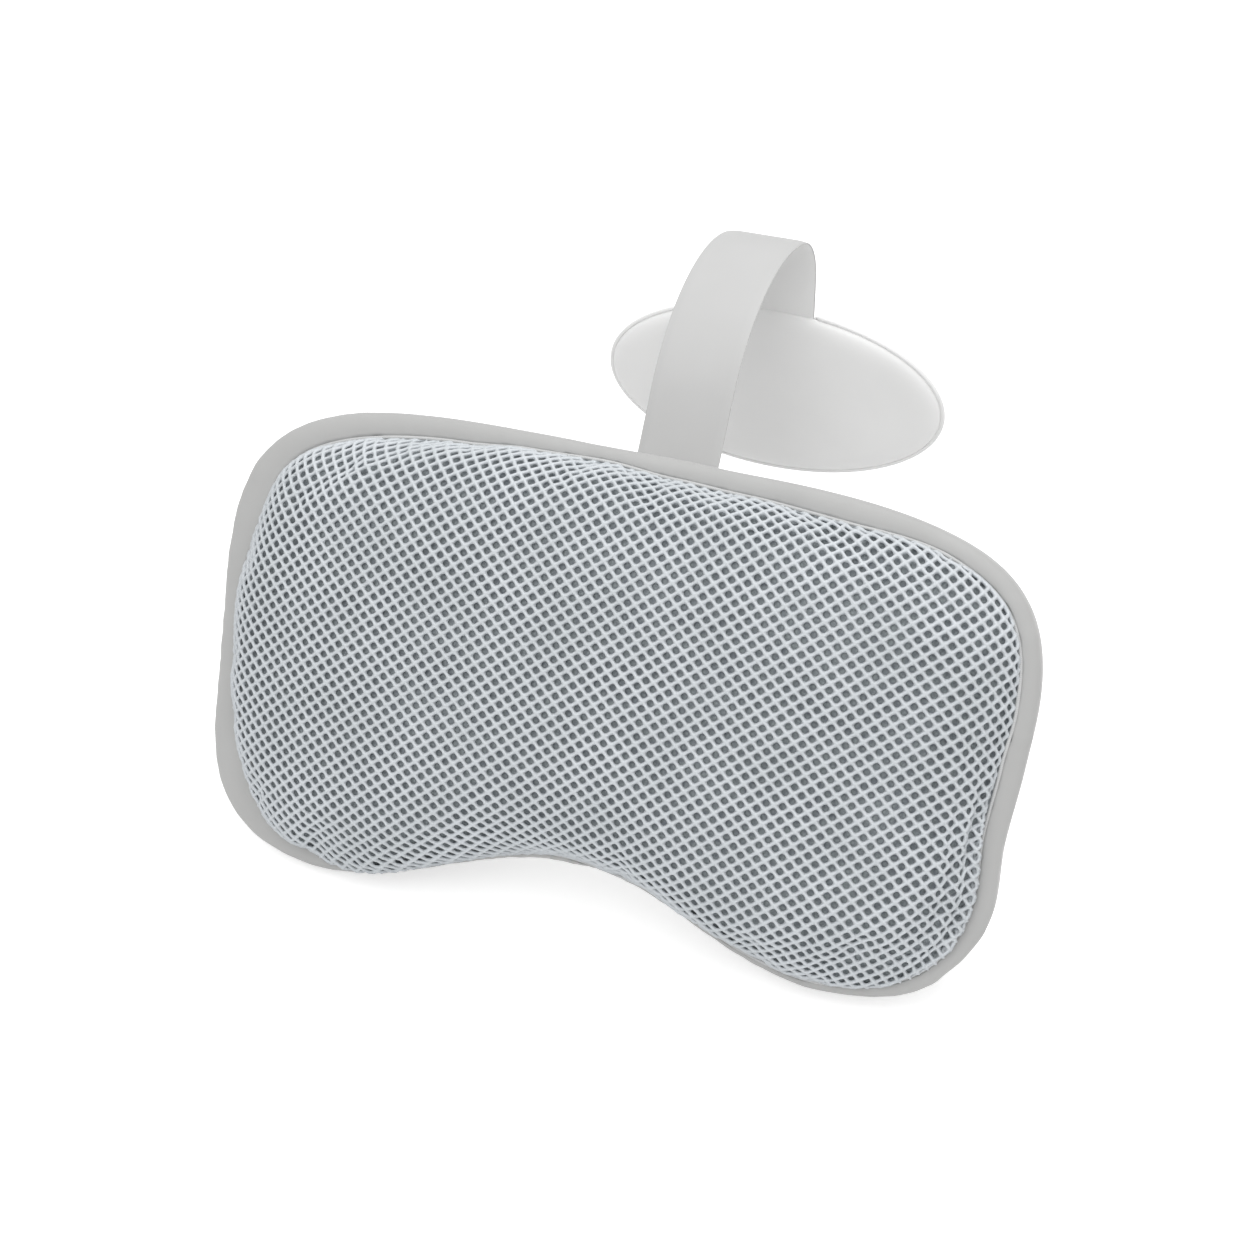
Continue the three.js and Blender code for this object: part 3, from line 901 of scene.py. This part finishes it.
def pad_point(x, v, w):
    """A point of the pad in the frame: x across, v up from its middle, w towards the bather."""
    fold = hinges["pad_swing"]
    middle = fold[2] - PAD_DROP - PAD_HALF_HEIGHT
    return np.stack(np.broadcast_arrays(x, fold[1] - w, middle + v), axis=-1)


def pad_cover(name, side):
    """Half of the pouch: from its thin rim the cloth rises over a round shoulder to a flat face, then an
    inner face a cloth's thickness below. Rings shrink from the oval to a point."""
    angle = full_circle(count=160)
    shoulder = PAD_RIM + PAD_SHOULDER * np.linspace(0, 1, num=12) ** 2
    inset = np.concatenate([shoulder, np.linspace(PAD_FLAT, PAD_HALF_HEIGHT, num=9)])
    rounding = 1 - np.clip((inset - PAD_RIM) / PAD_SHOULDER, 0, 1)
    outer = PAD_RIM_LEVEL + (PAD_HALF_THICKNESS - PAD_RIM_LEVEL) * np.sqrt(1 - rounding ** 2)
    inner = np.maximum(outer - PAD_CLOTH, PAD_INNER_LEVEL)
    insets = np.concatenate([inset[::-1], inset])[:, None]
    levels = np.concatenate([inner[::-1], outer])[:, None]
    stretch = 1 + (PAD_HALF_WIDTH / PAD_HALF_HEIGHT - 1) * smooth(STRETCH_START, PAD_HALF_HEIGHT, insets)
    x = (PAD_HALF_WIDTH - insets * stretch) * np.cos(angle)
    v = (PAD_HALF_HEIGHT - insets) * np.sin(angle)
    points = pad_point(x, v, side * levels)
    return add_grid(name, points if side > 0 else points[:, ::-1], loop_columns=True)


def pad_welt():
    """The rolled edge between the covers, open at the top where the strap goes in, with its ends drawn to
    points."""
    gap = math.acos((STRAP_WIDTH / 2 + WELT_GAP) / PAD_HALF_WIDTH)
    angle = np.linspace(math.pi - gap, FULL + gap, num=240)
    taper = np.ones(angle.shape)
    taper[[0, 1, -2, -1]] = [0, WELT_TAPER, WELT_TAPER, 0]
    turn = full_circle(count=10)[:, None]
    x = (PAD_HALF_WIDTH - WELT_RADIUS + WELT_RADIUS * taper * np.cos(turn)) * np.cos(angle)
    v = (PAD_HALF_HEIGHT - WELT_RADIUS + WELT_RADIUS * taper * np.cos(turn)) * np.sin(angle)
    return add_grid("pad_welt", pad_point(x, v, WELT_RADIUS * taper * np.sin(turn)), loop_rows=True)


# Finishes

PATTERN_SHARE = 0.6
FIBRE = 0.25
TONE_STOPS = (0.25, 0.75)
WAVE_ANGLE = 20
STEEL_TONES = ((0.38, 0.38, 0.3914), (0.55, 0.55, 0.5665))
STEEL_ROUGHNESS = 0.25
STREAK_SIZE = 0.4
STREAK_STRETCH = (0.02, 1, 1)
STREAK_DEPTH = 0.02
STREAK_STRENGTH = 0.5


def new_finish(name):
    """A new material, with its nodes and its shader."""
    material = bpy.data.materials.new(name)
    material.use_nodes = True
    tree = material.node_tree
    return material, tree, tree.nodes["Principled BSDF"]


def feed(tree, node, inputs):
    """Sets a node's inputs, by name or number, to values, or links them to outputs of other nodes."""
    for name, value in inputs.items():
        if isinstance(value, bpy.types.NodeSocket):
            tree.links.new(value, node.inputs[name])
        else:
            node.inputs[name].default_value = value


def put(tree, kind, inputs, **settings):
    """A node of a kind, with its settings and its inputs."""
    made = tree.nodes.new("ShaderNode" + kind)
    for name, value in settings.items():
        setattr(made, name, value)
    feed(tree, made, inputs)
    return made


def sum_of(tree, first, weight, rest):
    """First times weight plus the rest."""
    return put(tree, "Math", {0: first, 1: weight, 2: rest}, operation="MULTIPLY_ADD").outputs[0]


def in_space(tree):
    """Place in the object's own coordinates."""
    return put(tree, "TexCoord", {}).outputs["Object"]


def on_cloth(tree):
    """Place along the cloth, from the piece's running lengths."""
    return put(tree, "UVMap", {}, uv_map="cloth").outputs["UV"]


def blotches(tree, place, size, detail=2):
    """Noise from 0 to 1, with blotches of about a size."""
    noise = {"Vector": place, "Scale": 1 / (size * MM), "Detail": detail}
    return put(tree, "TexNoise", noise).outputs["Fac"]


def ribs(tree, place, pitch, way):
    """A sine from 0 to 1 that repeats at a pitch. At a scale of 1 the wave node turns by WAVE_ANGLE radians
    in a metre."""
    scale = FULL / WAVE_ANGLE / (pitch * MM)
    return put(tree, "TexWave", {"Vector": place, "Scale": scale}, bands_direction=way).outputs["Fac"]


def weave(tree, place, pitch):
    """A plain weave: the product of two sines across each other, from 0 to 1."""
    warp = sum_of(tree, ribs(tree, place, pitch, "X"), 2, -1)
    weft = sum_of(tree, ribs(tree, place, pitch, "Y"), 2, -1)
    return sum_of(tree, sum_of(tree, warp, weft, 0), 0.5, 0.5)


def over_fibres(tree, pattern, fibres):
    """A raised pattern mixed with finer fibres."""
    return sum_of(tree, pattern, PATTERN_SHARE, sum_of(tree, fibres, 1 - PATTERN_SHARE, 0))


def woven(pitch):
    """The height of a plain weave along the cloth, with fine fibres in it."""
    def height(tree):
        pattern = weave(tree, on_cloth(tree), pitch)
        return over_fibres(tree, pattern, blotches(tree, in_space(tree), FIBRE, detail=3))
    return height


def ribbed(pitch, way):
    """The height of ribs along the cloth, with fine fibres in it."""
    def height(tree):
        pattern = ribs(tree, on_cloth(tree), pitch, way)
        return over_fibres(tree, pattern, blotches(tree, in_space(tree), FIBRE, detail=3))
    return height


def fibrous(size):
    """The height of loose fibres, blotches of two sizes."""
    def height(tree):
        place = in_space(tree)
        return over_fibres(tree, blotches(tree, place, size, detail=3), blotches(tree, place, size / 3))
    return height


def knitted(size):
    """The height of knitted loops: one less the distance to the nearest of scattered points."""
    def height(tree):
        cells = put(tree, "TexVoronoi", {"Vector": in_space(tree), "Scale": 1 / (size * MM)})
        return sum_of(tree, cells.outputs["Distance"], -1, 1)
    return height


def underside(tree):
    """1 on the strap's inner face, which is the second half of the way round its section, and 0 on the
    outer. It marks where painted light is laid on the inner face."""
    way_round = put(tree, "SeparateXYZ", {"Vector": on_cloth(tree)}).outputs["X"]
    half_round = (STRAP_WIDTH + STRAP_EDGE) * MM
    return put(tree, "Math", {0: way_round, 1: half_round}, operation="GREATER_THAN").outputs[0]


def ramp(tree, tone, colours, stops=(0, 1)):
    """A colour that runs from one to another while the tone runs between two stops."""
    made = put(tree, "ValToRGB", {"Fac": tone})
    for element, colour, stop in zip(made.color_ramp.elements, colours, stops):
        element.position = stop
        element.color = (*colour, 1)
    return made.outputs["Color"]


def cloth_finish(
    name, dark, light, roughness, height, depth, blotch, detail, sheen=0, gloss=0.5, painted_light=None
):
    """A cloth whose tone runs from dark to light, partly with broad blotches of a size and partly, by the
    share of detail, with its raised pattern, and whose roughness runs the other way. On a strap, painted_light
    is painted light on its inner face, which lies in the shade of its arch: that face's tone as a multiple of
    the outer one's."""
    material, tree, shader = new_finish(name)
    raised = height(tree)
    broad = blotches(tree, in_space(tree), blotch)
    tone = sum_of(tree, raised, detail, sum_of(tree, broad, 1 - detail, 0))
    colour = ramp(tree, tone, (dark, light), TONE_STOPS)
    # Painted light: the strap's inner face is made paler to lift the shade under its arch
    if painted_light:
        tones = {"Fac": underside(tree), "Color1": colour, "Color2": (painted_light, painted_light, painted_light, 1)}
        colour = put(tree, "MixRGB", tones, blend_type="MULTIPLY").outputs["Color"]
    smoothest, roughest = roughness
    bump = put(tree, "Bump", {"Height": raised, "Distance": depth * MM, "Strength": 1})
    feed(tree, shader, {
        "Base Color": colour,
        "Roughness": sum_of(tree, tone, smoothest - roughest, roughest),
        "Normal": bump.outputs["Normal"],
        "Sheen Weight": sheen,
        "Specular IOR Level": gloss,
    })
    return material


def steel_finish():
    """Brushed steel: fine streaks along x, from noise stretched along it."""
    material, tree, shader = new_finish("brushed_steel")
    stretched = put(tree, "Mapping", {"Vector": in_space(tree), "Scale": STREAK_STRETCH})
    streaks = blotches(tree, stretched.outputs["Vector"], STREAK_SIZE, detail=4)
    relief = {"Height": streaks, "Distance": STREAK_DEPTH * MM, "Strength": STREAK_STRENGTH}
    feed(tree, shader, {
        "Metallic": 1,
        "Base Color": ramp(tree, streaks, STEEL_TONES),
        "Roughness": sum_of(tree, streaks, STEEL_ROUGHNESS, STEEL_ROUGHNESS),
        "Normal": put(tree, "Bump", relief).outputs["Normal"],
    })
    return material


net_yarn = cloth_finish(
    "net_yarn", (0.547, 0.581, 0.601), (0.685, 0.714, 0.748), roughness=(0.5, 0.75),
    height=fibrous(0.7), depth=0.12, blotch=30, detail=0.5, sheen=0.12,
)
dark_lining = cloth_finish(
    "dark_lining", (0.237, 0.258, 0.286), (0.39, 0.428, 0.436), roughness=(0.75, 0.95),
    height=knitted(1.4), depth=0.5, blotch=12, detail=0.5,
)
# The band's cloth is partly its own grey and partly painted shade: it is painted darker than the strap's, for the
# shade on the band's sides
band_cloth = cloth_finish(
    "band_cloth", (0.40, 0.40, 0.395), (0.45, 0.45, 0.445), roughness=(0.5, 0.7),
    height=woven(0.55), depth=0.03, blotch=40, detail=0.4, sheen=0.2,
)
panel_cloth = cloth_finish(
    "panel_cloth", (0.43, 0.43, 0.424), (0.50, 0.50, 0.492), roughness=(0.6, 0.8),
    height=woven(0.9), depth=0.08, blotch=40, detail=0.5, sheen=0.1,
)
strap_cloth = cloth_finish(
    "strap_cloth", (0.51, 0.51, 0.507), (0.55, 0.55, 0.547), roughness=(0.42, 0.6),
    height=ribbed(0.5, "Y"), depth=0.02, blotch=45, detail=0.35, sheen=0.08, gloss=0.25,
    painted_light=STRAP_PAINTED_LIGHT,
)
# Painted light: the pad's cloth is painted much paler than the strap's, to make up for the shade that the strap
# and the pillow in front of it put on the pad
pad_cloth = cloth_finish(
    "pad_cloth", (0.80, 0.80, 0.796), (0.85, 0.85, 0.846), roughness=(0.4, 0.58),
    height=fibrous(0.5), depth=0.02, blotch=45, detail=0.3, sheen=0.08,
)
piping_cloth = cloth_finish(
    "piping_cloth", (0.50, 0.505, 0.505), (0.60, 0.605, 0.605), roughness=(0.5, 0.7),
    height=ribbed(0.8, "X"), depth=0.06, blotch=25, detail=0.5, sheen=0.1,
)
patch_cloth = cloth_finish(
    "patch_cloth", (0.45, 0.45, 0.45), (0.55, 0.55, 0.55), roughness=(0.7, 0.9),
    height=fibrous(0.8), depth=0.1, blotch=20, detail=0.5,
)
thread = cloth_finish(
    "thread", (0.68, 0.68, 0.66), (0.82, 0.82, 0.80), roughness=(0.4, 0.6),
    height=fibrous(0.3), depth=0.05, blotch=8, detail=0.6, sheen=0.1,
)


# The dressed part

def dress(piece, material, slot, *nodes):
    """Gives a piece its finish and hides the CAD nodes that it stands for. slot is not used."""
    piece.data.materials.append(material)
    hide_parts(*nodes)
    return piece


net = dress(face_net(), net_yarn, "air_mesh", "mesh_face")
core = dress(cushion_core(), dark_lining, "foam", "foam_core")
for piece in (
    net,
    core,
    dress(side_band(), band_cloth, "band_cloth", "side_band"),
    dress(back_panel(), panel_cloth, "band_cloth", "back_panel"),
    dress(face_cord(), piping_cloth, "piping", "face_piping"),
    dress(back_cord(), piping_cloth, "piping", "back_piping"),
    dress(anchor_patch(), patch_cloth, "patch", "anchor_patch"),
    dress(anchor_stitches(), thread, "thread", "anchor_stitching"),
):
    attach(piece, "pillow")


lower = strap_piece("strap_lower", 0, LOWER_JOIN)
arch = strap_piece("strap_arch", LOWER_JOIN, DROP_JOIN)
drop = strap_piece("strap_drop", DROP_JOIN, strap_ends[-1] - STEP)
dress(lower, strap_cloth, "strap", "strap_root_tab")
dress(arch, strap_cloth, "strap", "strap_front", "strap_rear")
dress(drop, strap_cloth, "strap", "strap_end_tab")
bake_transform(lower)
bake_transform(arch)
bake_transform(drop)

pad_front = dress(pad_cover("pad_front", 1), pad_cloth, "pad_cloth", "pad_front_cover")
pad_back = dress(pad_cover("pad_back", -1), pad_cloth, "pad_cloth", "pad_back_cover")
welt = dress(pad_welt(), pad_cloth, "pad_cloth", "pad_edge")
for piece in (pad_front, pad_back, welt):
    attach(piece, "weighted_pad")
plate = frame["nodes"]["weight_plate"]
plate.data.materials.clear()
plate.data.materials.append(steel_finish())


# Stage: lengths in metres, and each lamp's name, place, size and power in watts

FLOOR_SIZE = 12
FLOOR_PALE = 0.9
FLOOR_SEEN = 0.8
FLOOR_GLOW = 0.54
SKY = 0.65
LAMPS = (
    ("front_lamp", (0.2, -1.6, 1.8), 1.6, 18.5),
    ("top_lamp", (0.2, 0.5, 2.2), 1.6, 21),
)


def seen_directly(tree):
    """1 for rays from the camera and for mirrored or clear ones, and 0 for light that falls on things."""
    path = put(tree, "LightPath", {})
    seen = sum_of(tree, path.outputs["Is Glossy Ray"], 1, path.outputs["Is Camera Ray"])
    seen = sum_of(tree, path.outputs["Is Transmission Ray"], 1, seen)
    return put(tree, "Clamp", {"Value": seen}).outputs["Result"]


def add_floor():
    """A wide pale floor under the part, which looks white and keeps a faint shadow."""
    half = FLOOR_SIZE / 2 / MM
    height = min(cad_box[0][2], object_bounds()[0][2]) / MM
    corners = half * np.array([[-1, -1], [1, -1], [1, 1], [-1, 1]])
    points = np.column_stack([corners, np.full(4, height)])
    floor = add_mesh("floor", points, np.array([[0, 1, 2, 3]]))
    material, tree, shader = new_finish("pale_floor")
    seen = seen_directly(tree)
    feed(tree, shader, {
        "Base Color": sum_of(tree, seen, FLOOR_SEEN - FLOOR_PALE, FLOOR_PALE),
        "Roughness": 1,
        "Specular IOR Level": 0,
        "Emission Color": (1, 1, 1, 1),
        "Emission Strength": sum_of(tree, seen, FLOOR_GLOW, 0),
    })
    floor.data.materials.append(material)


def add_lamp(name, place, size, power):
    """A large soft lamp, aimed at the part."""
    lamp = bpy.data.lights.new(name, "AREA")
    lamp.energy = power
    lamp.shape = "DISK"
    lamp.size = size
    holder = bpy.data.objects.new(name, lamp)
    holder.location = place
    holder.rotation_euler = holder.location.to_track_quat("Z", "Y").to_euler()
    bpy.context.scene.collection.objects.link(holder)


def add_sky():
    """Even light all round, and white where the camera sees it."""
    world = bpy.data.worlds.new("sky")
    world.use_nodes = True
    tree = world.node_tree
    strength = sum_of(tree, seen_directly(tree), 1 - SKY, SKY)
    feed(tree, tree.nodes["Background"], {"Color": (1, 1, 1, 1), "Strength": strength})
    bpy.context.scene.world = world


def add_camera():
    """The photograph's camera: at a distance from its aim, turned by the azimuth and raised by the
    elevation."""
    lens = bpy.data.cameras.new("camera")
    lens.lens = LENS
    camera = bpy.data.objects.new("camera", lens)
    level = math.cos(ELEVATION)
    back = Vector((math.sin(AZIMUTH) * level, -math.cos(AZIMUTH) * level, math.sin(ELEVATION)))
    camera.location = (Vector(AIM) + DISTANCE * back) * MM
    camera.rotation_euler = back.to_track_quat("Z", "Y").to_euler()
    bpy.context.scene.collection.objects.link(camera)
    bpy.context.scene.camera = camera


add_floor()
for lamp in LAMPS:
    add_lamp(*lamp)
add_sky()
add_camera()
bpy.context.scene.view_settings.view_transform = "Standard"
